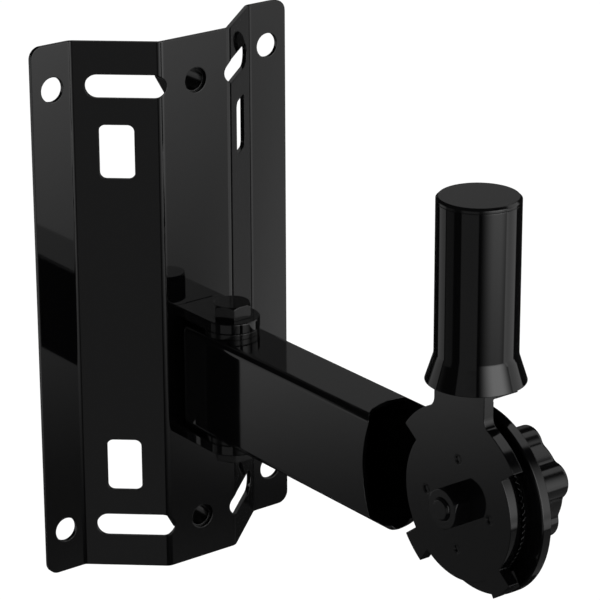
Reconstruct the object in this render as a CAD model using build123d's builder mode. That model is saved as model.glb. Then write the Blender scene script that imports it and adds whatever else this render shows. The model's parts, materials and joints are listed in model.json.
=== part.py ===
from build123d import *

import os
from math import atan2, cos, degrees, radians, sin, sqrt, tan

# Wall bracket for a loudspeaker with a 35 mm socket.
# X runs along the wall, -Y points out into the room and Z is up.
# The origin is the middle of the wall plate, on the plane that touches the wall.

os.makedirs("parts", exist_ok=True)

# Clearances
running_gap = 0.05        # flat faces that turn on each other
shaft_gap = 0.05          # radial, round a shaft that turns or slides
seat_gap = 0.05           # round a piece that is pressed, riveted or welded in

# Wall plate: one folded sheet with two flanges on the wall and a raised face
plate_width = 139.0
plate_height = 253.0
plate_sheet = 2.0
plate_depth = 26.0        # flange front to face front
flange_fold = 49.0        # from the middle to the fold at the flange
face_fold = 19.0          # from the middle to the fold at the raised face
plate_bend = 1.5          # inner bend radius
plate_corner = 5.5
wall_hole_r = 5.75
wall_hole_side = 10.5     # from the plate's side edge
wall_hole_end = 20.5      # from its top or bottom, also for slots and threaded holes
slot_height = 11.0
slot_start = 5.9          # along the sloping side, from the flange fold
slot_past_fold = 3.2      # how far it runs onto the raised face
window_start = 11.6       # along the sloping side, from the flange fold
window_width = 15.9
window_height = 25.3
window_end = 50.8         # from the plate's top or bottom to the middle
window_corner = 3.0
nut_bore_r = 5.1          # thread core of the nuts behind the raised face
nut_across_flats = 19.0
nut_length = 11.0

# Swivel: two ears on the raised face, a bolt and two flanged bushes
swivel_y = 53.3           # from the wall to the swivel axis
ear_width = 25.4
ear_thick = 5.0
ear_tab_width = 15.0
bolt_r = 5.0              # M10, used at the swivel and the joint
bolt_across_flats = 16.0
bolt_head = 6.4
bolt_chamfer = 0.9
thin_nut = 5.0
bolt_stick_out = 2.0
bush_flange_r = 12.5
bush_flange = 2.6
bush_barrel_r = 7.0
bush_length = 12.0
swivel_tube_r = 10.0

# Arm: a box section with one side drawn out into a tongue
arm_z = -30.0             # height of its middle and of the tilting joint
arm_width = 28.0
arm_height = 48.5
arm_sheet = 2.0
arm_corner = 3.0
arm_start = 35.5          # from the wall
joint_y = 220.0           # from the wall to the tilting joint
throat_r = 54.6           # round the joint, cuts the near side and the top
lip_r = 43.8              # round the joint, cuts the bottom
lip_sweep_r = 28.0        # the lip's edge curves back towards the tongue
lip_sweep_x = -10.0
lip_corner_r = 6.0        # seen from above, at the near side
notch_r = 24.0            # lets the spigot lean back over the top
notch_x = 4.5
notch_reach = 160.7       # from the wall to the deepest point of the notch
jog_start = 178.0         # from the wall
jog_length = 9.0
tongue_end_r = 26.0

# Tilting joint: two plates with toothed rings face to face between them
ring_space = 5.0          # between the two plates, clamp let go
disc_thick = 5.0
disc_r = 41.6
disc_edge = 0.5
tooth_count = 72
tooth_height = 1.3
tooth_tip_gap = 0.3       # between the tips, clamp let go
tooth_outer_r = 32.0
tooth_inner_r = 26.0
tooth_tip_flat = 0.3
tooth_root_flat = 0.39
ring_bore_r = 9.0
rivet_r = 2.0
rivet_centre_r = 20.1
rivet_dimple = 0.5
thread_pitch = 1.5        # one turn of the knob closes the joint by this much

# Spigot plate: outline round the joint, 0 degrees outwards and 90 degrees up
spigot_plate_thick = 5.0
hub_r = 33.4
shoulder_r = 42.4
shoulder_from = 36.0
tab_r = 41.5
tab_from = 37.0           # below the horizontal
tab_to = 55.5
neck_width = 31.4
neck_fillet = 5.0
shelf_z = 25.4            # top face of the folded shelf
shelf_depth = 17.8
shelf_bend = 1.0          # inner bend radius
edge_round = 0.4

# Spigot
spigot_r = 17.5
spigot_wall = 2.0
spigot_top = 102.2
flare_r = 21.1
flare_bottom = 23.6
flare_top = 34.8
core_length = 26.0
cap_head = 2.2
cap_plug = 9.0
cap_chamfer = 1.0
spigot_screw_r = 3.0       # two countersunk M6 screws from below the shelf
spigot_screw_head_r = 5.2
spigot_screw_spacing = 17.0
spigot_screw_grip = 14.0   # length in the core
spigot_screw_socket = 4.0  # across flats
spigot_screw_socket_depth = 2.5

# Clamp bolt with its nut, and star knob
clamp_nut_across_flats = 17.0
clamp_nut_length = 8.3
clamp_stick_out = 1.2     # how far the bolt's end stands out of the nut
clamp_flats = 8.4         # across the two flats that stop it turning in the arm
thrust_washer_r = 13.5
thrust_washer = 2.0
knob_hub_r = 12.5
knob_hub = 8.4
knob_depth = 13.5
knob_lobes = 5
knob_lobe_r = 8.25
knob_lobe_centre_r = 16.5
knob_valley_r = 20.5
knob_valley_fillet = 3.6
knob_turn = 20.0          # direction of the first lobe
knob_edge = 2.0
insert_r = 7.5
insert_length = 19.0
clamp_end_gap = 2.5       # between the bolt's end and the bottom of the knob's bore

# Heights and places that follow
wall_hole_x = plate_width / 2 - wall_hole_side
wall_hole_z = plate_height / 2 - wall_hole_end
window_z = plate_height / 2 - window_end

arm_top = arm_z + arm_height / 2
arm_bottom = arm_z - arm_height / 2
upper_ear_bottom = arm_top + bush_flange + running_gap
upper_ear_top = upper_ear_bottom + ear_thick
lower_ear_top = arm_bottom - bush_flange - running_gap
lower_ear_bottom = lower_ear_top - ear_thick
face_front_y = plate_sheet + plate_depth
face_back_y = plate_depth

disc_front_x = ring_space / 2
disc_back_x = disc_front_x + disc_thick
tongue_back_x = disc_back_x + arm_sheet
spigot_plate_back_x = -ring_space / 2
spigot_plate_front_x = spigot_plate_back_x - spigot_plate_thick
ring_base = ring_space / 2 - tooth_height - tooth_tip_gap / 2
spigot_x = spigot_plate_front_x + shelf_depth / 2
shelf_bottom = shelf_z - spigot_plate_thick
spigot_screw_head = spigot_screw_head_r - spigot_screw_r
screw_x = (spigot_plate_back_x + shelf_bend + spigot_plate_front_x + shelf_depth) / 2
washer_front_x = tongue_back_x + thrust_washer
knob_base_x = washer_front_x + running_gap
knob_star_x = knob_base_x + knob_hub


def joint_plane(x):
    """Plane across the tilting joint's axis: its x points outwards and its y up."""
    return Plane(origin=(x, -joint_y, arm_z), x_dir=(0, -1, 0), z_dir=(-1, 0, 0))


def pie_slice(radius, first, last):
    """Flat sector of a circle between two angles."""
    with BuildSketch() as sector:
        with BuildLine():
            rim = CenterArc((0, 0), radius, first, last - first)
            Line((0, 0), rim @ 0)
            Line(rim @ 1, (0, 0))
        make_face()
    return sector.sketch


# Wall plate: half of the section is drawn and mirrored, then cut through
slope_angle = degrees(atan2(plate_depth, flange_fold - face_fold))
slope_length = sqrt(plate_depth**2 + (flange_fold - face_fold) ** 2)
back_shift = plate_sheet * tan(radians(slope_angle / 2))
half_width = plate_width / 2


def web_plane(side):
    """Plane on a sloping side: x runs from the flange fold to the face fold, y is up."""
    direction = Vector(-side * cos(radians(slope_angle)), -sin(radians(slope_angle)), 0)
    return Plane(
        origin=(side * flange_fold, -plate_sheet, 0),
        x_dir=direction,
        z_dir=direction.cross(Vector(0, 0, 1)),
    )


with BuildPart() as wall_plate:
    with BuildSketch(Plane.XY.offset(-plate_height / 2)) as plate_section:
        with BuildLine() as plate_line:
            half_section = Polyline(
                (0, -face_back_y),
                (-face_fold + back_shift, -face_back_y),
                (-flange_fold + back_shift, 0),
                (-half_width, 0),
                (-half_width, -plate_sheet),
                (-flange_fold, -plate_sheet),
                (-face_fold, -face_front_y),
                (0, -face_front_y),
            )
            mirror(half_section, about=Plane.YZ)
        make_face()
        corners = plate_section.vertices()
        inner_bends = corners.filter_by(
            lambda v: abs(abs(v.X) - face_fold + back_shift) < 0.01
            or (abs(abs(v.X) - flange_fold) < 0.01)
        )
        outer_bends = corners.filter_by(
            lambda v: abs(abs(v.X) - face_fold) < 0.01
            or (abs(abs(v.X) - flange_fold + back_shift) < 0.01)
        )
        fillet(inner_bends, plate_bend)
        fillet(outer_bends, plate_bend + plate_sheet)
    extrude(amount=plate_height)
    with BuildSketch(Plane.XZ) as plate_outline:
        RectangleRounded(plate_width, plate_height, plate_corner)
    extrude(amount=face_front_y + 1, mode=Mode.INTERSECT)
    with BuildSketch(Plane.XZ) as wall_holes:
        with GridLocations(2 * wall_hole_x, 2 * wall_hole_z, 2, 2):
            Circle(wall_hole_r)
        with Locations((0, wall_hole_z), (0, -wall_hole_z)):
            Circle(wall_hole_r)
        with Locations((0, upper_ear_bottom + ear_thick / 2), (0, lower_ear_bottom + ear_thick / 2)):
            Rectangle(ear_tab_width + 2 * seat_gap, ear_thick + 2 * seat_gap)
    extrude(amount=face_front_y + 1, mode=Mode.SUBTRACT)
    slot_end = slope_length + slot_past_fold * cos(radians(slope_angle))
    slot_middle = (slot_start + slot_end) / 2
    window_middle = window_start + window_width / 2
    for side in (-1, 1):
        with BuildSketch(web_plane(side)) as web_cuts:
            with Locations((slot_middle, wall_hole_z), (slot_middle, -wall_hole_z)):
                SlotOverall(slot_end - slot_start, slot_height)
            with Locations((window_middle, window_z), (window_middle, -window_z)):
                RectangleRounded(window_width, window_height, window_corner)
        extrude(amount=3 * plate_sheet, both=True, mode=Mode.SUBTRACT)
wall_plate.part.label = "wall_plate"
export_step(wall_plate.part, "parts/wall_plate.step")

# Threaded nuts welded behind the raised face
for name, level in (("upper_weld_nut", wall_hole_z), ("lower_weld_nut", -wall_hole_z)):
    with BuildPart() as weld_nut:
        with BuildSketch(Plane.XZ.offset(face_back_y)) as nut_section:
            with Locations((0, level)):
                RegularPolygon(nut_across_flats / 2, 6, major_radius=False)
                Circle(nut_bore_r, mode=Mode.SUBTRACT)
        extrude(amount=-nut_length)
    weld_nut.part.label = name
    export_step(weld_nut.part, f"parts/{name}.step")

# Ears: flat bars with a round end, and a tab through the raised face
for name, level in (("upper_ear", upper_ear_bottom), ("lower_ear", lower_ear_bottom)):
    with BuildPart() as ear:
        with BuildSketch(Plane.XY.offset(level)) as ear_outline:
            with Locations((0, -(face_front_y + swivel_y) / 2)):
                Rectangle(ear_width, swivel_y - face_front_y)
            with Locations((0, -(face_front_y + face_back_y) / 2)):
                Rectangle(ear_tab_width, plate_sheet)
            with Locations((0, -swivel_y)):
                Circle(ear_width / 2)
                Circle(bolt_r + shaft_gap, mode=Mode.SUBTRACT)
        extrude(amount=ear_thick)
        rim = ear.edges().filter_by(GeomType.CIRCLE).filter_by(lambda e: e.radius > bolt_r + 1)
        chamfer(rim, edge_round)
    ear.part.label = name
    export_step(ear.part, f"parts/{name}.step")

# Swivel bolt with its hexagon head on the upper ear
swivel_bolt_end = lower_ear_bottom - thin_nut - bolt_stick_out
with BuildPart() as swivel_bolt:
    with BuildSketch(Plane.XY.offset(upper_ear_top)) as head_section:
        with Locations((0, -swivel_y)):
            RegularPolygon(bolt_across_flats / 2, 6, major_radius=False)
    extrude(amount=bolt_head)
    with BuildSketch(Plane.XZ.offset(swivel_y)) as head_turning:
        with BuildLine():
            Polyline(
                (0, upper_ear_top),
                (bolt_across_flats, upper_ear_top),
                (bolt_across_flats / 2, upper_ear_top + bolt_head),
                (0, upper_ear_top + bolt_head),
                close=True,
            )
        make_face()
    revolve(axis=Axis((0, -swivel_y, 0), (0, 0, 1)), mode=Mode.INTERSECT)
    with BuildSketch(Plane.XY.offset(upper_ear_top)) as shank_section:
        with Locations((0, -swivel_y)):
            Circle(bolt_r)
    extrude(amount=swivel_bolt_end - upper_ear_top)
    chamfer(swivel_bolt.faces().sort_by(Axis.Z)[0].edges(), bolt_chamfer)
swivel_bolt.part.label = "swivel_bolt"
export_step(swivel_bolt.part, "parts/swivel_bolt.step")

with BuildPart() as swivel_nut:
    with BuildSketch(Plane.XY.offset(lower_ear_bottom)) as swivel_nut_section:
        with Locations((0, -swivel_y)):
            RegularPolygon(bolt_across_flats / 2, 6, major_radius=False)
            Circle(bolt_r + seat_gap, mode=Mode.SUBTRACT)
    extrude(amount=-thin_nut)
swivel_nut.part.label = "swivel_nut"
export_step(swivel_nut.part, "parts/swivel_nut.step")

# Flanged bushes between the ears and the arm, turned about the swivel axis
for name, face_z, inward in (("upper_swivel_bush", arm_top, -1), ("lower_swivel_bush", arm_bottom, 1)):
    with BuildPart() as bush:
        with BuildSketch(Plane.XZ.offset(swivel_y)) as bush_profile:
            with BuildLine():
                Polyline(
                    (bolt_r + shaft_gap, face_z - inward * bush_flange),
                    (bush_flange_r, face_z - inward * bush_flange),
                    (bush_flange_r, face_z),
                    (bush_barrel_r, face_z),
                    (bush_barrel_r, face_z + inward * bush_length),
                    (bolt_r + shaft_gap, face_z + inward * bush_length),
                    close=True,
                )
            make_face()
        revolve(axis=Axis((0, -swivel_y, 0), (0, 0, 1)))
    bush.part.label = name
    export_step(bush.part, f"parts/{name}.step")

# Tube inside the arm that keeps its top and bottom apart under the bolt
with BuildPart() as swivel_tube:
    with BuildSketch(Plane.XY.offset(arm_bottom + arm_sheet)) as tube_ring:
        with Locations((0, -swivel_y)):
            Circle(swivel_tube_r)
            Circle(bush_barrel_r + seat_gap, mode=Mode.SUBTRACT)
    extrude(amount=arm_height - 2 * arm_sheet)
swivel_tube.part.label = "swivel_tube"
export_step(swivel_tube.part, "parts/swivel_tube.step")

# Arm
far_inner_x = arm_width / 2 - arm_sheet
tongue_height = arm_height - 2 * arm_sheet
with BuildPart() as arm:
    with BuildSketch(Plane.XZ.offset(arm_start)) as box_section:
        with Locations((0, arm_z)):
            RectangleRounded(arm_width, arm_height, arm_corner)
            RectangleRounded(
                arm_width - 2 * arm_sheet,
                arm_height - 2 * arm_sheet,
                arm_corner - arm_sheet,
                mode=Mode.SUBTRACT,
            )
    extrude(amount=joint_y - arm_start)
    # the far side stops where the tongue's jog begins
    with BuildSketch(Plane.XY.offset(arm_bottom - 1)) as far_side_end:
        with Locations(((far_inner_x + arm_width) / 2, -(jog_start + joint_y) / 2 - 1)):
            Rectangle(arm_width - far_inner_x, joint_y - jog_start + 2)
    extrude(amount=arm_height + 2, mode=Mode.SUBTRACT)
    # everything above the bottom is cut back round the joint
    with BuildSketch(joint_plane(far_inner_x)) as throat:
        Circle(throat_r)
        with Locations((0, -tongue_height / 2 - throat_r / 2)):
            Rectangle(3 * throat_r, throat_r, mode=Mode.SUBTRACT)
    extrude(amount=arm_width, mode=Mode.SUBTRACT)
    with BuildSketch(joint_plane(far_inner_x)) as lip_cut:
        Circle(lip_r)
    extrude(amount=arm_width, mode=Mode.SUBTRACT)
    # the lip's edge sweeps back to the far side
    with BuildSketch(Plane.XY.offset(arm_bottom - 1)) as lip_sweep:
        lip_end = joint_y - sqrt(lip_r**2 - (arm_height / 2) ** 2)
        with Locations((arm_width / 2 + lip_sweep_x, -lip_end)):
            Rectangle(arm_width, 2 * lip_sweep_r)
        with Locations((lip_sweep_x, -lip_end + lip_sweep_r)):
            Circle(lip_sweep_r, mode=Mode.SUBTRACT)
        with Locations((lip_sweep_x, -lip_end + 2 * lip_sweep_r)):
            Rectangle(4 * arm_width, 2 * lip_sweep_r, mode=Mode.SUBTRACT)
        with Locations((far_inner_x + arm_width / 2, -lip_end)):
            Rectangle(arm_width, 3 * lip_sweep_r, mode=Mode.SUBTRACT)
    extrude(amount=arm_sheet + 2, mode=Mode.SUBTRACT)
    # the lip's near corner is rounded off
    with BuildSketch(Plane.XY.offset(arm_bottom - 1)) as lip_corner:
        with Locations((lip_corner_r - arm_width / 2, lip_corner_r - lip_end)):
            Rectangle(2 * lip_corner_r, 2 * lip_corner_r, align=(Align.MAX, Align.MAX))
            Circle(lip_corner_r, mode=Mode.SUBTRACT)
    extrude(amount=arm_sheet + 2, mode=Mode.SUBTRACT)
    # round notch in the top
    with BuildSketch(Plane.XY.offset(arm_z)) as notch:
        with Locations((notch_x, -notch_reach - notch_r)):
            Circle(notch_r)
        with Locations((far_inner_x + arm_width / 2, -notch_reach - notch_r)):
            Rectangle(arm_width, 2 * notch_r, mode=Mode.SUBTRACT)
    extrude(amount=arm_height, mode=Mode.SUBTRACT)
    # tongue: jogs inwards and lies flat on the back of the joint disc
    with BuildSketch(Plane.XY.offset(arm_z - tongue_height / 2)) as tongue_path:
        with BuildLine():
            Polyline(
                (far_inner_x, -jog_start),
                (disc_back_x, -jog_start - jog_length),
                (disc_back_x, -joint_y - tongue_height),
                (tongue_back_x, -joint_y - tongue_height),
                (tongue_back_x, -jog_start - jog_length),
                (arm_width / 2, -jog_start),
                close=True,
            )
        make_face()
    extrude(amount=tongue_height)
    with BuildSketch(joint_plane(arm_width)) as tongue_end:
        with Locations((tongue_height, 0)):
            Rectangle(2 * tongue_height, 2 * tongue_height)
        Circle(tongue_end_r, mode=Mode.SUBTRACT)
    extrude(amount=2 * arm_width, mode=Mode.SUBTRACT)
    with BuildSketch(joint_plane(arm_width)) as joint_bores:
        Circle(bolt_r + 4 * shaft_gap)
        with PolarLocations(rivet_centre_r, 4, start_angle=45):
            Circle(rivet_r + seat_gap)
    extrude(amount=arm_width - disc_back_x, mode=Mode.SUBTRACT)
    with BuildSketch(Plane.XY.offset(arm_bottom - 1)) as swivel_bore:
        with Locations((0, -swivel_y)):
            Circle(bush_barrel_r + seat_gap)
    extrude(amount=arm_height + 2, mode=Mode.SUBTRACT)
arm.part.label = "arm"
export_step(arm.part, "parts/arm.step")

# Joint disc on the arm: two flats in its bore keep the clamp bolt from turning
with BuildPart() as arm_joint_disc:
    with BuildSketch(joint_plane(disc_back_x)) as disc_outline:
        Circle(disc_r)
    extrude(amount=disc_thick)
    chamfer(arm_joint_disc.edges(), disc_edge)
    with BuildSketch(joint_plane(disc_back_x)) as flatted_bore:
        Circle(bolt_r + shaft_gap)
        for side in (-1, 1):
            with Locations((0, side * (clamp_flats / 2 + shaft_gap + bolt_r))):
                Rectangle(4 * bolt_r, 2 * bolt_r, mode=Mode.SUBTRACT)
        with PolarLocations(rivet_centre_r, 4, start_angle=45):
            Circle(rivet_r + seat_gap)
    extrude(amount=disc_thick, mode=Mode.SUBTRACT)
arm_joint_disc.part.label = "arm_joint_disc"
export_step(arm_joint_disc.part, "parts/arm_joint_disc.step")

# Toothed rings: tapered teeth, one radial ridge each, whose flanks all aim at the axis
tooth_pitch = 360 / tooth_count
root_share = tooth_root_flat / (tooth_outer_r * radians(tooth_pitch))
tip_share = tooth_tip_flat / (tooth_outer_r * radians(tooth_pitch))
tooth_sink = ring_base / 2


def tooth_ridge():
    """One tooth on the outward direction, standing on z = 0 and sunk a little below."""
    with BuildPart() as ridge:
        for radius in (tooth_inner_r, tooth_outer_r):
            pitch_here = radius * radians(tooth_pitch)
            root_half = pitch_here * (1 - root_share) / 2
            tip_half = pitch_here * tip_share / 2
            with BuildSketch(Plane(origin=(radius, 0, 0), x_dir=(0, 1, 0), z_dir=(1, 0, 0))):
                with BuildLine():
                    Polyline(
                        (-root_half, -tooth_sink),
                        (root_half, -tooth_sink),
                        (root_half, 0),
                        (tip_half, tooth_height),
                        (-tip_half, tooth_height),
                        (-root_half, 0),
                        close=True,
                    )
                make_face()
        loft()
    return ridge.part


one_tooth = tooth_ridge()

# the two rings face each other, half a tooth apart in phase so that they mesh when closed
ring_rows = (
    ("spigot_toothed_ring", spigot_plate_back_x, 1, 0.0, 0.0),
    ("arm_toothed_ring", disc_front_x, -1, tooth_pitch / 2, 45.0),
)
for name, back_x, facing, phase, rivet_turn in ring_rows:
    with BuildPart() as toothed_ring:
        with BuildSketch(Plane.XY) as ring_outline:
            Circle(tooth_outer_r)
            Circle(ring_bore_r, mode=Mode.SUBTRACT)
            with PolarLocations(rivet_centre_r, 4, start_angle=rivet_turn):
                Circle(rivet_r + seat_gap, mode=Mode.SUBTRACT)
        extrude(amount=ring_base)
        with Locations((0, 0, ring_base)):
            with PolarLocations(0, tooth_count, start_angle=phase):
                add(one_tooth)
    seat = Plane(origin=(back_x, -joint_y, arm_z), x_dir=(0, -1, 0), z_dir=(facing, 0, 0))
    placed_ring = seat.location * toothed_ring.part
    placed_ring.label = name
    export_step(placed_ring, f"parts/{name}.step")

# Rivets that hold each ring, flush with a shallow dimple in the outer end
with BuildPart() as spigot_ring_rivets:
    with BuildSketch(joint_plane(spigot_plate_back_x + ring_base)) as spigot_rivet_section:
        with PolarLocations(rivet_centre_r, 4):
            Circle(rivet_r)
    extrude(amount=ring_base + spigot_plate_thick)
    with BuildSketch(joint_plane(spigot_plate_front_x + rivet_dimple)) as dimple_section:
        with PolarLocations(rivet_centre_r, 4):
            Circle(rivet_r - rivet_dimple)
    extrude(amount=rivet_dimple, mode=Mode.SUBTRACT)
spigot_ring_rivets.part.label = "spigot_ring_rivets"
export_step(spigot_ring_rivets.part, "parts/spigot_ring_rivets.step")

with BuildPart() as arm_ring_rivets:
    with BuildSketch(joint_plane(tongue_back_x)) as arm_rivet_section:
        with PolarLocations(rivet_centre_r, 4, start_angle=45):
            Circle(rivet_r)
    extrude(amount=tongue_back_x - disc_front_x + ring_base)
arm_ring_rivets.part.label = "arm_ring_rivets"
export_step(arm_ring_rivets.part, "parts/arm_ring_rivets.step")

# Spigot plate: hub with shoulders and two tabs, whose neck folds over into a shelf
slices = [pie_slice(shoulder_r, shoulder_from, 180 - shoulder_from)]
for first in (-tab_to, tab_from - 180):
    slices.append(pie_slice(tab_r, first, first + tab_to - tab_from))
neck_top = shelf_z - arm_z
with BuildPart() as spigot_plate:
    with BuildSketch(joint_plane(spigot_plate_back_x)) as spigot_outline:
        Circle(hub_r)
        for piece in slices:
            add(piece)
        with Locations((0, (neck_top - spigot_plate_thick - shelf_bend) / 2)):
            Rectangle(neck_width, neck_top - spigot_plate_thick - shelf_bend)
        neck_feet = spigot_outline.vertices().filter_by(
            lambda v: abs(abs(v.X) - neck_width / 2) < 0.01 and hub_r < v.Y < shoulder_r
        )
        fillet(neck_feet, neck_fillet)
    extrude(amount=spigot_plate_thick)
    with BuildSketch(Plane.XZ.offset(joint_y - neck_width / 2)) as shelf_section:
        with BuildLine():
            Polyline(
                (spigot_plate_back_x, shelf_bottom - shelf_bend),
                (spigot_plate_back_x, shelf_bottom),
                (spigot_plate_front_x + shelf_depth, shelf_bottom),
                (spigot_plate_front_x + shelf_depth, shelf_z),
                (spigot_plate_front_x, shelf_z),
                (spigot_plate_front_x, shelf_bottom - shelf_bend),
                close=True,
            )
        make_face()
        inner_corner = shelf_section.vertices().sort_by_distance((spigot_plate_back_x, -joint_y, shelf_bottom))
        outer_corner = shelf_section.vertices().sort_by_distance((spigot_plate_front_x, -joint_y, shelf_z))
        fillet(inner_corner[0], shelf_bend * 0.9)
        fillet(outer_corner[0], shelf_bend + spigot_plate_thick * 0.9)
    extrude(amount=neck_width)
    with BuildSketch(joint_plane(spigot_plate_back_x)) as spigot_plate_bores:
        Circle(bolt_r + shaft_gap)
        with PolarLocations(rivet_centre_r, 4):
            Circle(rivet_r + seat_gap)
    extrude(amount=spigot_plate_thick, mode=Mode.SUBTRACT)
    with BuildSketch(Plane.XY.offset(shelf_bottom)) as shelf_bores:
        with Locations((screw_x, -joint_y)):
            with GridLocations(1, spigot_screw_spacing, 1, 2):
                Circle(spigot_screw_r + seat_gap)
    extrude(amount=spigot_plate_thick, mode=Mode.SUBTRACT)
    with Locations((screw_x, -joint_y, shelf_bottom)):
        with GridLocations(1, spigot_screw_spacing, 1, 2):
            Cone(
                spigot_screw_head_r + seat_gap,
                spigot_screw_r + seat_gap,
                spigot_screw_head,
                align=(Align.CENTER, Align.CENTER, Align.MIN),
                mode=Mode.SUBTRACT,
            )
spigot_plate.part.label = "spigot_plate"
export_step(spigot_plate.part, "parts/spigot_plate.step")

# Spigot: a tube whose lower end flares out over the shelf, a core, a cap and two screws
spigot_axis = Axis((spigot_x, -joint_y, 0), (0, 0, 1))
spigot_inner_r = spigot_r - spigot_wall
with BuildPart() as spigot_tube:
    with BuildSketch(Plane.XZ.offset(joint_y)) as tube_profile:
        with BuildLine():
            Polyline(
                (spigot_x + flare_r, flare_bottom),
                (spigot_x + spigot_r, flare_top),
                (spigot_x + spigot_r, spigot_top - cap_head),
                (spigot_x + spigot_inner_r, spigot_top - cap_head),
                (spigot_x + spigot_inner_r, flare_top),
                (spigot_x + flare_r - spigot_wall, flare_bottom),
                close=True,
            )
        make_face()
    revolve(axis=spigot_axis)
    bends = spigot_tube.edges().filter_by(GeomType.CIRCLE).filter_by(lambda e: abs(e.center().Z - flare_top) < 0.01)
    fillet(bends, 3 * spigot_wall)
spigot_tube.part.label = "spigot_tube"
export_step(spigot_tube.part, "parts/spigot_tube.step")

with BuildPart() as spigot_core:
    with BuildSketch(Plane.XY.offset(shelf_z)) as core_section:
        with Locations((spigot_x, -joint_y)):
            Circle(spigot_inner_r - seat_gap)
    extrude(amount=core_length)
    with BuildSketch(Plane.XY.offset(shelf_z)) as core_bores:
        with Locations((screw_x, -joint_y)):
            with GridLocations(1, spigot_screw_spacing, 1, 2):
                Circle(spigot_screw_r + seat_gap)
    extrude(amount=spigot_screw_grip + 1, mode=Mode.SUBTRACT)
spigot_core.part.label = "spigot_core"
export_step(spigot_core.part, "parts/spigot_core.step")

with BuildPart() as spigot_cap:
    with BuildSketch(Plane.XZ.offset(joint_y)) as cap_profile:
        with BuildLine():
            Polyline(
                (spigot_x, spigot_top),
                (spigot_x + spigot_r - cap_chamfer, spigot_top),
                (spigot_x + spigot_r, spigot_top - cap_chamfer),
                (spigot_x + spigot_r, spigot_top - cap_head),
                (spigot_x + spigot_inner_r - seat_gap, spigot_top - cap_head),
                (spigot_x + spigot_inner_r - seat_gap, spigot_top - cap_head - cap_plug),
                (spigot_x, spigot_top - cap_head - cap_plug),
                close=True,
            )
        make_face()
    revolve(axis=spigot_axis)
spigot_cap.part.label = "spigot_cap"
export_step(spigot_cap.part, "parts/spigot_cap.step")

with BuildPart() as spigot_screws:
    with BuildSketch(Plane.XY.offset(shelf_bottom)) as screw_shanks:
        with Locations((screw_x, -joint_y)):
            with GridLocations(1, spigot_screw_spacing, 1, 2):
                Circle(spigot_screw_r)
    extrude(amount=spigot_plate_thick + spigot_screw_grip)
    with Locations((screw_x, -joint_y, shelf_bottom)):
        with GridLocations(1, spigot_screw_spacing, 1, 2):
            Cone(
                spigot_screw_head_r,
                spigot_screw_r,
                spigot_screw_head,
                align=(Align.CENTER, Align.CENTER, Align.MIN),
            )
    with BuildSketch(Plane.XY.offset(shelf_bottom)) as screw_sockets:
        with Locations((screw_x, -joint_y)):
            with GridLocations(1, spigot_screw_spacing, 1, 2):
                RegularPolygon(spigot_screw_socket / 2, 6, major_radius=False)
    extrude(amount=spigot_screw_socket_depth, mode=Mode.SUBTRACT)
spigot_screws.part.label = "spigot_screws"
export_step(spigot_screws.part, "parts/spigot_screws.step")

# Clamp bolt: a stud with flats where it passes the joint disc
clamp_nut_x = spigot_plate_front_x - running_gap
clamp_start_x = clamp_nut_x - clamp_nut_length - clamp_stick_out
clamp_end_x = knob_base_x + insert_length - clamp_end_gap
flats_from_x = disc_front_x - thread_pitch
with BuildPart() as clamp_bolt:
    with BuildSketch(joint_plane(clamp_end_x)) as clamp_shank:
        Circle(bolt_r)
    extrude(amount=clamp_end_x - clamp_start_x)
    chamfer(clamp_bolt.edges().filter_by(GeomType.CIRCLE), bolt_chamfer)
    with BuildSketch(joint_plane(disc_back_x + thread_pitch)) as shank_flats:
        for side in (-1, 1):
            with Locations((0, side * (clamp_flats / 2 + bolt_r))):
                Rectangle(4 * bolt_r, 2 * bolt_r)
    extrude(amount=disc_back_x + thread_pitch - flats_from_x, mode=Mode.SUBTRACT)
clamp_bolt.part.label = "clamp_bolt"
export_step(clamp_bolt.part, "parts/clamp_bolt.step")

# Hexagon nut on the clamp bolt, in front of the spigot plate
with BuildPart() as clamp_nut:
    with BuildSketch(joint_plane(clamp_nut_x)) as clamp_nut_section:
        RegularPolygon(clamp_nut_across_flats / 2, 6, major_radius=False, rotation=30)
    extrude(amount=clamp_nut_length)
    with BuildSketch(Plane.XY.offset(arm_z)) as clamp_nut_turning:
        with BuildLine():
            Polyline(
                (clamp_nut_x, -joint_y),
                (clamp_nut_x, -joint_y - clamp_nut_across_flats),
                (clamp_nut_x - clamp_nut_length, -joint_y - clamp_nut_across_flats / 2),
                (clamp_nut_x - clamp_nut_length, -joint_y),
                close=True,
            )
        make_face()
    revolve(axis=Axis((0, -joint_y, arm_z), (1, 0, 0)), mode=Mode.INTERSECT)
    with BuildSketch(joint_plane(clamp_nut_x)) as clamp_nut_bore:
        Circle(bolt_r + seat_gap)
    extrude(amount=clamp_nut_length, mode=Mode.SUBTRACT)
clamp_nut.part.label = "clamp_nut"
export_step(clamp_nut.part, "parts/clamp_nut.step")

with BuildPart() as knob_washer:
    with BuildSketch(joint_plane(washer_front_x)) as knob_washer_section:
        Circle(thrust_washer_r)
        Circle(bolt_r + 4 * shaft_gap, mode=Mode.SUBTRACT)
    extrude(amount=thrust_washer)
    washer_rims = knob_washer.edges().filter_by(GeomType.CIRCLE)
    chamfer(washer_rims.filter_by(lambda e: e.radius > thrust_washer_r - 0.1), edge_round)
knob_washer.part.label = "knob_washer"
export_step(knob_washer.part, "parts/knob_washer.step")

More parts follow.
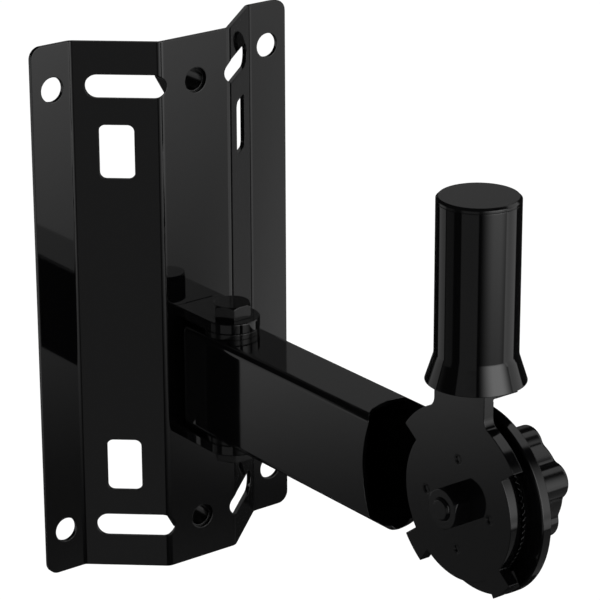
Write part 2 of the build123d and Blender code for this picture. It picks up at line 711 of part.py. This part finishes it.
# Star knob with a threaded insert moulded in
with BuildPart() as knob_body:
    with BuildSketch(joint_plane(knob_star_x)) as star:
        Circle(knob_valley_r)
        with PolarLocations(knob_lobe_centre_r, knob_lobes, start_angle=knob_turn):
            Circle(knob_lobe_r)
        fillet(star.vertices(), knob_valley_fillet)
    extrude(amount=-knob_depth)
    fillet(knob_body.faces().sort_by(Axis.X)[-1].edges(), knob_edge)
    with BuildSketch(joint_plane(knob_base_x)) as hub_section:
        Circle(knob_hub_r)
    extrude(amount=-knob_hub)
    with BuildSketch(joint_plane(knob_base_x)) as insert_pocket:
        Circle(insert_r + seat_gap)
    extrude(amount=-insert_length, mode=Mode.SUBTRACT)
knob_body.part.label = "knob_body"
export_step(knob_body.part, "parts/knob_body.step")

with BuildPart() as knob_insert:
    with BuildSketch(joint_plane(knob_base_x)) as insert_section:
        Circle(insert_r)
        Circle(bolt_r + shaft_gap, mode=Mode.SUBTRACT)
    extrude(amount=-insert_length)
knob_insert.part.label = "knob_insert"
export_step(knob_insert.part, "parts/knob_insert.step")
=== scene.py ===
import json
import math

import bmesh
import bpy
from mathutils import Matrix, Vector


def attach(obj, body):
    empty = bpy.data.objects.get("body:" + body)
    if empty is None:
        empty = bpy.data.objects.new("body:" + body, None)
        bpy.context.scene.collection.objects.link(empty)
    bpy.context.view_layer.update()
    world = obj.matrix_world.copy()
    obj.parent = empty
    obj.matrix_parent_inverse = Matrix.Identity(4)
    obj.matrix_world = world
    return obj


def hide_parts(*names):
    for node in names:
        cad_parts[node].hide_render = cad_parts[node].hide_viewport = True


# Looks of the loudspeaker wall bracket: high-gloss black coat, black plastics and plated bolts.
# Metres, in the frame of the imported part: X along the wall, -Y out into the room, Z up.

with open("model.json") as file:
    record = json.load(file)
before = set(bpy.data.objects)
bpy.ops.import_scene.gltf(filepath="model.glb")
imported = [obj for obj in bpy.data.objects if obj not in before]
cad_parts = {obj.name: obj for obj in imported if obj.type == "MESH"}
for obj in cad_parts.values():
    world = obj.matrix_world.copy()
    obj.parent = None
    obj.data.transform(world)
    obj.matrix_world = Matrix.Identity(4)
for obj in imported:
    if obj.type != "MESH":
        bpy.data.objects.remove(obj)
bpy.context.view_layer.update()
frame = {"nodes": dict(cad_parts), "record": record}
nodes = frame["nodes"]

# Photograph
CAMERA_PLACE = Vector((-0.7653, -1.1066, 0.4933))
CAMERA_AZIMUTH = math.radians(-37.35)
CAMERA_ELEVATION = math.radians(20.41)
CAMERA_ROLL = math.radians(-0.21)
CAMERA_SENSOR_MM = 36.0
CAMERA_LENS_MM = 185.49
CAMERA_NEAR = 0.05
CAMERA_FAR = 50.0

# Colours, linear
COAT_COLOUR = (0.0010, 0.0010, 0.0011, 1.0)
PLATED_COLOUR = (0.0013, 0.0013, 0.0014, 1.0)
PLASTIC_COLOUR = (0.0018, 0.0018, 0.0019, 1.0)
BUSH_COLOUR = (0.0012, 0.0012, 0.0012, 1.0)
STEEL_COLOUR = (0.42, 0.42, 0.43, 1.0)
WHITE = (1.0, 1.0, 1.0, 1.0)
FLOOR_COLOUR = (0.93, 0.93, 0.93, 1.0)

# Surface of the coats
EDGE_RADIUS = 0.0005  # rounding over sharp edges
EDGE_SAMPLES = 6
GRAIN_DETAIL = 3.0
GRAIN_HEIGHT = 0.00002
COARSE_GRAIN_HEIGHT = 0.00003
GRAIN_STRENGTH = 0.3

# Bends of the wall plate's sheet, as X and Y on the right half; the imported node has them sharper
FACE_FOLD = (0.019, -0.028)  # where the raised face meets the sloping side, in front
FLANGE_FOLD = (0.049, -0.002)  # where the sloping side meets the flange, in front
FLANGE_FOLD_BACK = (FLANGE_FOLD[0] - 0.000745, 0.0)
ALONG_WALL = (1.0, 0.0)
TO_THE_MIDDLE = (-1.0, 0.0)
OUTER_BEND = 0.005
INNER_BEND = 0.003
BEND_STEPS = 12
BEND_OVERLAP = 0.0006
CUT_OVERRUN = 0.002
PLATE_HALF_HEIGHT = 0.1265
PLATE_SHEET = 0.002
FLAT_TOLERANCE = 0.000003
SAME_PLACE = 1e-7
BY_AREA_ONLY = 100

# Nuts welded behind the raised face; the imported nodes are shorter, so that light shows through them
WELD_NUT_FRONT = -0.026
WELD_NUT_BACK = -0.0118

# Stage
BODY_CENTRE = Vector((0.0, -0.13, 0.0))
FLOOR_LEVEL = -0.42
FLOOR_SIZE = 12.0
FLOOR_GLOW = 1.1
WHITE_SHARE = 0.85  # of the floor's white that does not depend on light
WORLD_LIGHT = 0.6

# Grey cards round the bracket that its gloss mirrors, on a dark surround. Each row has the azimuth
# range and its soft edges, the elevation range and its soft edges, all in degrees, then the lean
# in degrees of azimuth for each degree of elevation, and the strength.
SURROUND_RADIUS = 9.0
SURROUND_SEGMENTS = 48
SURROUND_RINGS = 24
SURROUND_STRENGTH = 0.015
KEY_CARD = (-36.0, 52.0, 40.0, 34.0, -27.0, 50.0, 21.5, 20.0, 0.0, 3.1)
RIGHT_CARD = (43.1, 86.0, 4.2, 4.0, -25.0, 62.0, 4.0, 8.0, 0.4, 0.78)
LEFT_CARD = (-87.0, -38.0, 3.0, 3.0, -29.0, 16.0, 3.0, 3.0, 0.0, 0.21)
LEFT_BACK_CARD = (-135.0, -105.0, 3.0, 6.0, -27.0, 7.0, 3.0, 5.0, 0.0, 0.09)
BACK_CARD = (-174.0, -136.0, 4.0, 2.0, -25.0, 10.0, 4.0, 5.0, 0.0, 0.44)
UPPER_BACK_CARD = (122.0, 158.0, 6.0, 6.0, 6.0, 34.0, 6.0, 6.0, 0.0, 0.17)
LOW_RIGHT_CARD = (28.0, 104.0, 6.0, 8.0, -62.0, -24.0, 10.0, 3.0, 0.0, 0.15)
LOW_BACK_CARD = (-179.0, -120.0, 6.0, 8.0, -50.0, -22.0, 12.0, 3.0, 0.0, 0.10)
SURROUND_CARDS = (
    KEY_CARD, RIGHT_CARD, LEFT_CARD, LEFT_BACK_CARD,
    BACK_CARD, UPPER_BACK_CARD, LOW_RIGHT_CARD, LOW_BACK_CARD,
)

# Soft area lights: name, azimuth and elevation in degrees, distance, width, height, watts
SOFTBOXES = (
    ("key_box", 15.0, 30.0, 1.8, 1.4, 1.0, 16.0),
    ("left_box", -95.0, 15.0, 1.6, 0.6, 1.2, 5.0),
    ("right_box", 70.0, 25.0, 1.8, 0.7, 1.2, 6.0),
)


def new_material(name):
    """An empty node material and its node tree."""
    material = bpy.data.materials.new(name)
    material.use_nodes = True
    material.node_tree.nodes.clear()
    return material, material.node_tree


def coat_material(name, colour, roughness, spread, grain, height=GRAIN_HEIGHT, metallic=0.0):
    """Gloss surface whose roughness and height vary a little, with rounded edges."""
    material, tree = new_material(name)
    make = tree.nodes.new
    link = tree.links.new
    output = make("ShaderNodeOutputMaterial")
    surface = make("ShaderNodeBsdfPrincipled")
    surface.inputs["Base Color"].default_value = colour
    surface.inputs["Metallic"].default_value = metallic
    place = make("ShaderNodeTexCoord")
    cloud = make("ShaderNodeTexNoise")
    cloud.inputs["Scale"].default_value = grain
    cloud.inputs["Detail"].default_value = GRAIN_DETAIL
    link(place.outputs["Object"], cloud.inputs["Vector"])
    sheen = make("ShaderNodeMapRange")
    sheen.inputs["To Min"].default_value = roughness
    sheen.inputs["To Max"].default_value = roughness + spread
    link(cloud.outputs["Fac"], sheen.inputs["Value"])
    link(sheen.outputs["Result"], surface.inputs["Roughness"])
    rounding = make("ShaderNodeBevel")
    rounding.samples = EDGE_SAMPLES
    rounding.inputs["Radius"].default_value = EDGE_RADIUS
    relief = make("ShaderNodeBump")
    relief.inputs["Strength"].default_value = GRAIN_STRENGTH
    relief.inputs["Distance"].default_value = height
    link(cloud.outputs["Fac"], relief.inputs["Height"])
    link(rounding.outputs["Normal"], relief.inputs["Normal"])
    link(relief.outputs["Normal"], surface.inputs["Normal"])
    link(surface.outputs["BSDF"], output.inputs["Surface"])
    return material


# Finish of each material slot of the part: colour, roughness and its spread, scale of the grain
gloss_coat = coat_material("gloss_black_coat", COAT_COLOUR, 0.03, 0.03, 60.0)
joint_coat = coat_material("joint_black_coat", COAT_COLOUR, 0.05, 0.04, 90.0)
inner_steel = coat_material(
    "coated_inner_steel", PLATED_COLOUR, 0.15, 0.10, 200.0, height=COARSE_GRAIN_HEIGHT
)
black_plating = coat_material("black_plating", PLATED_COLOUR, 0.10, 0.06, 400.0)
gloss_plastic = coat_material("gloss_black_plastic", PLASTIC_COLOUR, 0.12, 0.05, 300.0)
bush_plastic = coat_material("bush_plastic", BUSH_COLOUR, 0.16, 0.08, 500.0)
turned_steel = coat_material("turned_steel", STEEL_COLOUR, 0.28, 0.12, 350.0, metallic=1.0)

SLOT_FINISH = {
    "wall_plate_coat": gloss_coat,
    "arm_coat": gloss_coat,
    "spigot_coat": gloss_coat,
    "disc_coat": joint_coat,
    "spigot_plate_coat": joint_coat,
    "rivet_steel": joint_coat,
    "nut_steel": inner_steel,
    "swivel_tube_steel": inner_steel,
    "core_steel": inner_steel,
    "ring_steel": black_plating,
    "bolt_black": black_plating,
    "washer_black": black_plating,
    "cap_plastic": gloss_plastic,
    "knob_plastic": gloss_plastic,
    "bush_plastic": bush_plastic,
    "insert_steel": turned_steel,
}


def paint_nodes():
    """Give every CAD node the finish of its slot."""
    for entry in frame["record"]["subparts"]:
        node = nodes[entry["node"]]
        node.data.materials.clear()
        node.data.materials.append(SLOT_FINISH[entry["material_slot"]])


def bend_outline(corner, along_first, along_second, radius):
    """Section between a sharp fold and its rounded bend, a little past the sheet's surface."""
    corner = Vector(corner)
    first = Vector(along_first).normalized()
    second = Vector(along_second).normalized()
    half_turn = (math.pi - first.angle(second)) / 2.0
    reach = radius * math.tan(half_turn)
    middle = (first + second).normalized()
    centre = corner + middle * (radius / math.cos(half_turn))
    start = corner + first * reach - centre
    end = corner + second * reach - centre
    turn = start.angle_signed(end)
    arc = [
        centre + Matrix.Rotation(-turn * step / BEND_STEPS, 2) @ start
        for step in range(BEND_STEPS + 1)
    ]
    away = -middle * BEND_OVERLAP
    return arc + [arc[-1] + away, corner + away * 2.0, arc[0] + away]


def bend_bar(name, outline, side, overrun):
    """Upright bar with the outline's section over the plate's height, right (1) or left (-1)."""
    shape = bmesh.new()
    rings = [
        [shape.verts.new((side * point.x, point.y, level)) for point in outline]
        for level in (-PLATE_HALF_HEIGHT - overrun, PLATE_HALF_HEIGHT + overrun)
    ]
    low, high = rings
    shape.faces.new(low)
    shape.faces.new(high)
    for i in range(len(outline)):
        j = (i + 1) % len(outline)
        shape.faces.new((low[i], low[j], high[j], high[i]))
    bmesh.ops.recalc_face_normals(shape, faces=shape.faces)
    mesh = bpy.data.meshes.new(name)
    shape.to_mesh(mesh)
    shape.free()
    bar = bpy.data.objects.new(name, mesh)
    bpy.context.scene.collection.objects.link(bar)
    return bar


def sheet_planes():
    """A point and the outward normal of each flat side of the plate's sheet."""
    slope = Vector(FLANGE_FOLD) - Vector(FACE_FOLD)
    front = Vector((0.0, -1.0, 0.0))
    sides = [(Vector((0.0, depth, 0.0)), front) for depth in (FACE_FOLD[1], FLANGE_FOLD[1])]
    for side in (-1.0, 1.0):
        tilted = Vector((side * slope.y, -slope.x, 0.0)).normalized()
        sides.append((Vector((side * FACE_FOLD[0], FACE_FOLD[1], 0.0)), tilted))
    return sides + [(point - normal * PLATE_SHEET, -normal) for point, normal in sides]


def even_sheet_normals(mesh):
    """Exact normals on the plate's flat sides, so that thin triangles don't show in the gloss."""
    normals = [corner.vector.copy() for corner in mesh.corner_normals]
    planes = sheet_planes()
    for polygon in mesh.polygons:
        points = [mesh.vertices[index].co for index in polygon.vertices]
        for place, normal in planes:
            if all(abs((point - place).dot(normal)) < FLAT_TOLERANCE for point in points):
                for loop in polygon.loop_indices:
                    normals[loop] = normal
                break
    mesh.normals_split_custom_set(normals)


def new_piece(piece, node):
    """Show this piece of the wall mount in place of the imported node."""
    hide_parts(node)
    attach(piece, "wall_mount")


def welded_copy(name, source):
    """Copy of a node whose triangles share their corners, so that it can be cut."""
    mesh = source.data.copy()
    shape = bmesh.new()
    shape.from_mesh(mesh)
    bmesh.ops.remove_doubles(shape, verts=shape.verts, dist=SAME_PLACE)
    shape.to_mesh(mesh)
    shape.free()
    copy = bpy.data.objects.new(name, mesh)
    bpy.context.scene.collection.objects.link(copy)
    return copy


def bend_bars():
    """The bars that cut the outer bends round and fill the inner ones, with their operations."""
    slope = Vector(FLANGE_FOLD) - Vector(FACE_FOLD)
    front_fold = bend_outline(FACE_FOLD, TO_THE_MIDDLE, slope, OUTER_BEND)
    back_fold = bend_outline(FLANGE_FOLD_BACK, ALONG_WALL, -slope, OUTER_BEND)
    inner_fold = bend_outline(FLANGE_FOLD, ALONG_WALL, -slope, INNER_BEND)
    bars = []
    for side in (-1.0, 1.0):
        bars.append(("DIFFERENCE", bend_bar("cut", front_fold, side, CUT_OVERRUN)))
        bars.append(("DIFFERENCE", bend_bar("cut", back_fold, side, CUT_OVERRUN)))
        bars.append(("UNION", bend_bar("fill", inner_fold, side, 0.0)))
    return bars


def bent_wall_plate():
    """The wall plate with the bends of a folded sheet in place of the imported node's sharper ones."""
    plate = welded_copy("bent_wall_plate", nodes["wall_plate"])
    bars = bend_bars()
    for operation, bar in bars:
        step = plate.modifiers.new(operation.lower(), "BOOLEAN")
        step.operation = operation
        step.solver = "EXACT"
        step.object = bar
    even = plate.modifiers.new("even_normals", "WEIGHTED_NORMAL")
    even.mode = "FACE_AREA"
    even.weight = BY_AREA_ONLY
    even.keep_sharp = True
    shapes = bpy.context.evaluated_depsgraph_get()
    rounded = bpy.data.meshes.new_from_object(plate.evaluated_get(shapes))
    plate.modifiers.clear()
    plate.data = rounded
    for _, bar in bars:
        bpy.data.objects.remove(bar)
    even_sheet_normals(rounded)
    rounded.materials.clear()
    rounded.materials.append(gloss_coat)
    new_piece(plate, "wall_plate")


def longer_weld_nut(name):
    """A welded nut long enough to look closed from the front."""
    nut = bpy.data.objects.new("long_" + name, nodes[name].data.copy())
    back = max(vertex.co.y for vertex in nut.data.vertices)
    stretch = (WELD_NUT_BACK - WELD_NUT_FRONT) / (back - WELD_NUT_FRONT)
    for vertex in nut.data.vertices:
        vertex.co.y = WELD_NUT_FRONT + (vertex.co.y - WELD_NUT_FRONT) * stretch
    bpy.context.scene.collection.objects.link(nut)
    new_piece(nut, name)


def math_node(tree, operation, *values):
    """Math node whose inputs are sockets or numbers; returns its output."""
    node = tree.nodes.new("ShaderNodeMath")
    node.operation = operation
    for socket, value in zip(node.inputs, values):
        if isinstance(value, (int, float)):
            socket.default_value = value
        else:
            tree.links.new(value, socket)
    return node.outputs["Value"]


def seen_rays(tree):
    """1 for camera, mirror and see-through rays, which meet the white background."""
    rays = tree.nodes.new("ShaderNodeLightPath").outputs
    seen = math_node(tree, "MAXIMUM", rays["Is Camera Ray"], rays["Is Glossy Ray"])
    return math_node(tree, "MAXIMUM", seen, rays["Is Transmission Ray"])


def background_floor():
    """Pale floor under the bracket; the camera sees it white, with a faint shadow."""
    bpy.ops.mesh.primitive_plane_add(size=FLOOR_SIZE, location=(0.0, 0.0, FLOOR_LEVEL))
    floor = bpy.context.object
    floor.name = "floor"
    material, tree = new_material("pale_floor")
    output = tree.nodes.new("ShaderNodeOutputMaterial")
    matte = tree.nodes.new("ShaderNodeBsdfDiffuse")
    matte.inputs["Color"].default_value = FLOOR_COLOUR
    white = tree.nodes.new("ShaderNodeEmission")
    white.inputs["Color"].default_value = WHITE
    white.inputs["Strength"].default_value = FLOOR_GLOW
    mix = tree.nodes.new("ShaderNodeMixShader")
    share = math_node(tree, "MULTIPLY", seen_rays(tree), WHITE_SHARE)
    tree.links.new(share, mix.inputs["Fac"])
    tree.links.new(matte.outputs["BSDF"], mix.inputs[1])
    tree.links.new(white.outputs["Emission"], mix.inputs[2])
    tree.links.new(mix.outputs["Shader"], output.inputs["Surface"])
    floor.data.materials.append(material)
    floor.visible_glossy = False


def background_shader(tree, strength):
    """Plain white background of this strength; returns its output."""
    background = tree.nodes.new("ShaderNodeBackground")
    background.inputs["Color"].default_value = WHITE
    background.inputs["Strength"].default_value = strength
    return background.outputs["Background"]


def white_world():
    """White background for the camera, plain grey light for everything else."""
    world = bpy.data.worlds.new("studio")
    bpy.context.scene.world = world
    world.use_nodes = True
    tree = world.node_tree
    tree.nodes.clear()
    output = tree.nodes.new("ShaderNodeOutputWorld")
    mix = tree.nodes.new("ShaderNodeMixShader")
    tree.links.new(seen_rays(tree), mix.inputs["Fac"])
    tree.links.new(background_shader(tree, WORLD_LIGHT), mix.inputs[1])
    tree.links.new(background_shader(tree, 1.0), mix.inputs[2])
    tree.links.new(mix.outputs["Shader"], output.inputs["Surface"])


def direction(azimuth, elevation):
    """Unit vector towards a place round the bracket; azimuth 0 is the room side, 90 the right."""
    a = math.radians(azimuth)
    e = math.radians(elevation)
    return Vector((math.sin(a) * math.cos(e), -math.cos(a) * math.cos(e), math.sin(e)))


def soft_step(tree, value, first, last):
    """0 to 1 as the value goes from first to last, with soft ends."""
    node = tree.nodes.new("ShaderNodeMapRange")
    node.interpolation_type = "SMOOTHSTEP"
    node.inputs["From Min"].default_value = first
    node.inputs["From Max"].default_value = last
    tree.links.new(value, node.inputs["Value"])
    return node.outputs["Result"]


def soft_band(tree, value, low, high, low_edge, high_edge):
    """1 between low and high and 0 outside, with soft edges inside the band."""
    rise = soft_step(tree, value, low, low + low_edge)
    fall = soft_step(tree, value, high, high - high_edge)
    return math_node(tree, "MULTIPLY", rise, fall)


def card_light(tree, azimuth, elevation, card):
    """Light of one card at the azimuth and elevation sockets."""
    left, right, left_edge, right_edge, low, high, low_edge, high_edge, lean, strength = card
    if lean:
        azimuth = math_node(tree, "SUBTRACT", azimuth, math_node(tree, "MULTIPLY", elevation, lean))
    wide = soft_band(tree, azimuth, left, right, left_edge, right_edge)
    tall = soft_band(tree, elevation, low, high, low_edge, high_edge)
    return math_node(tree, "MULTIPLY", math_node(tree, "MULTIPLY", wide, tall), strength)


def surround_material():
    """Dark surround with the soft grey cards on it, as a light."""
    material, tree = new_material("reflection_cards")
    place = tree.nodes.new("ShaderNodeTexCoord")
    parts = tree.nodes.new("ShaderNodeSeparateXYZ")
    tree.links.new(place.outputs["Object"], parts.inputs["Vector"])
    outwards = math_node(tree, "MULTIPLY", parts.outputs["Y"], -1.0)
    azimuth = math_node(tree, "DEGREES", math_node(tree, "ARCTAN2", parts.outputs["X"], outwards))
    level = math_node(tree, "DIVIDE", parts.outputs["Z"], SURROUND_RADIUS)
    elevation = math_node(tree, "DEGREES", math_node(tree, "ARCSINE", level))
    total = SURROUND_STRENGTH
    for card in SURROUND_CARDS:
        total = math_node(tree, "ADD", card_light(tree, azimuth, elevation, card), total)
    glow = tree.nodes.new("ShaderNodeEmission")
    tree.links.new(total, glow.inputs["Strength"])
    output = tree.nodes.new("ShaderNodeOutputMaterial")
    tree.links.new(glow.outputs["Emission"], output.inputs["Surface"])
    material.cycles.emission_sampling = "NONE"
    return material


def reflection_surround():
    """Sphere with the cards that only mirror rays meet."""
    bpy.ops.mesh.primitive_uv_sphere_add(
        segments=SURROUND_SEGMENTS,
        ring_count=SURROUND_RINGS,
        radius=SURROUND_RADIUS,
        location=BODY_CENTRE,
    )
    surround = bpy.context.object
    surround.name = "reflection_surround"
    surround.data.materials.append(surround_material())
    surround.visible_camera = False
    surround.visible_diffuse = False
    surround.visible_transmission = False
    surround.visible_volume_scatter = False
    surround.visible_shadow = False


def softbox(name, azimuth, elevation, distance, width, height, power):
    """Soft area light aimed at the bracket; mirror rays see the cards instead of it."""
    data = bpy.data.lights.new(name, "AREA")
    data.shape = "RECTANGLE"
    data.size = width
    data.size_y = height
    data.energy = power
    lamp = bpy.data.objects.new(name, data)
    away = direction(azimuth, elevation)
    lamp.location = BODY_CENTRE + away * distance
    lamp.rotation_mode = "QUATERNION"
    lamp.rotation_quaternion = away.to_track_quat("Z", "Y")
    lamp.visible_glossy = False
    bpy.context.scene.collection.objects.link(lamp)


def photograph_camera():
    """The camera of the photograph, with its small roll."""
    back = direction(math.degrees(CAMERA_AZIMUTH), math.degrees(CAMERA_ELEVATION))
    level = Vector((math.cos(CAMERA_AZIMUTH), math.sin(CAMERA_AZIMUTH), 0.0))
    up = back.cross(level)
    right = level * math.cos(CAMERA_ROLL) + up * math.sin(CAMERA_ROLL)
    upright = up * math.cos(CAMERA_ROLL) - level * math.sin(CAMERA_ROLL)
    data = bpy.data.cameras.new("photograph")
    data.sensor_width = CAMERA_SENSOR_MM
    data.lens = CAMERA_LENS_MM
    data.clip_start = CAMERA_NEAR
    data.clip_end = CAMERA_FAR
    camera = bpy.data.objects.new("photograph", data)
    turn = Matrix((right, upright, back)).transposed()
    camera.matrix_world = Matrix.Translation(CAMERA_PLACE) @ turn.to_4x4()
    bpy.context.scene.collection.objects.link(camera)
    bpy.context.scene.camera = camera


paint_nodes()
bent_wall_plate()
longer_weld_nut("upper_weld_nut")
longer_weld_nut("lower_weld_nut")
background_floor()
white_world()
reflection_surround()
for box in SOFTBOXES:
    softbox(*box)
photograph_camera()
bpy.context.scene.view_settings.view_transform = "Standard"
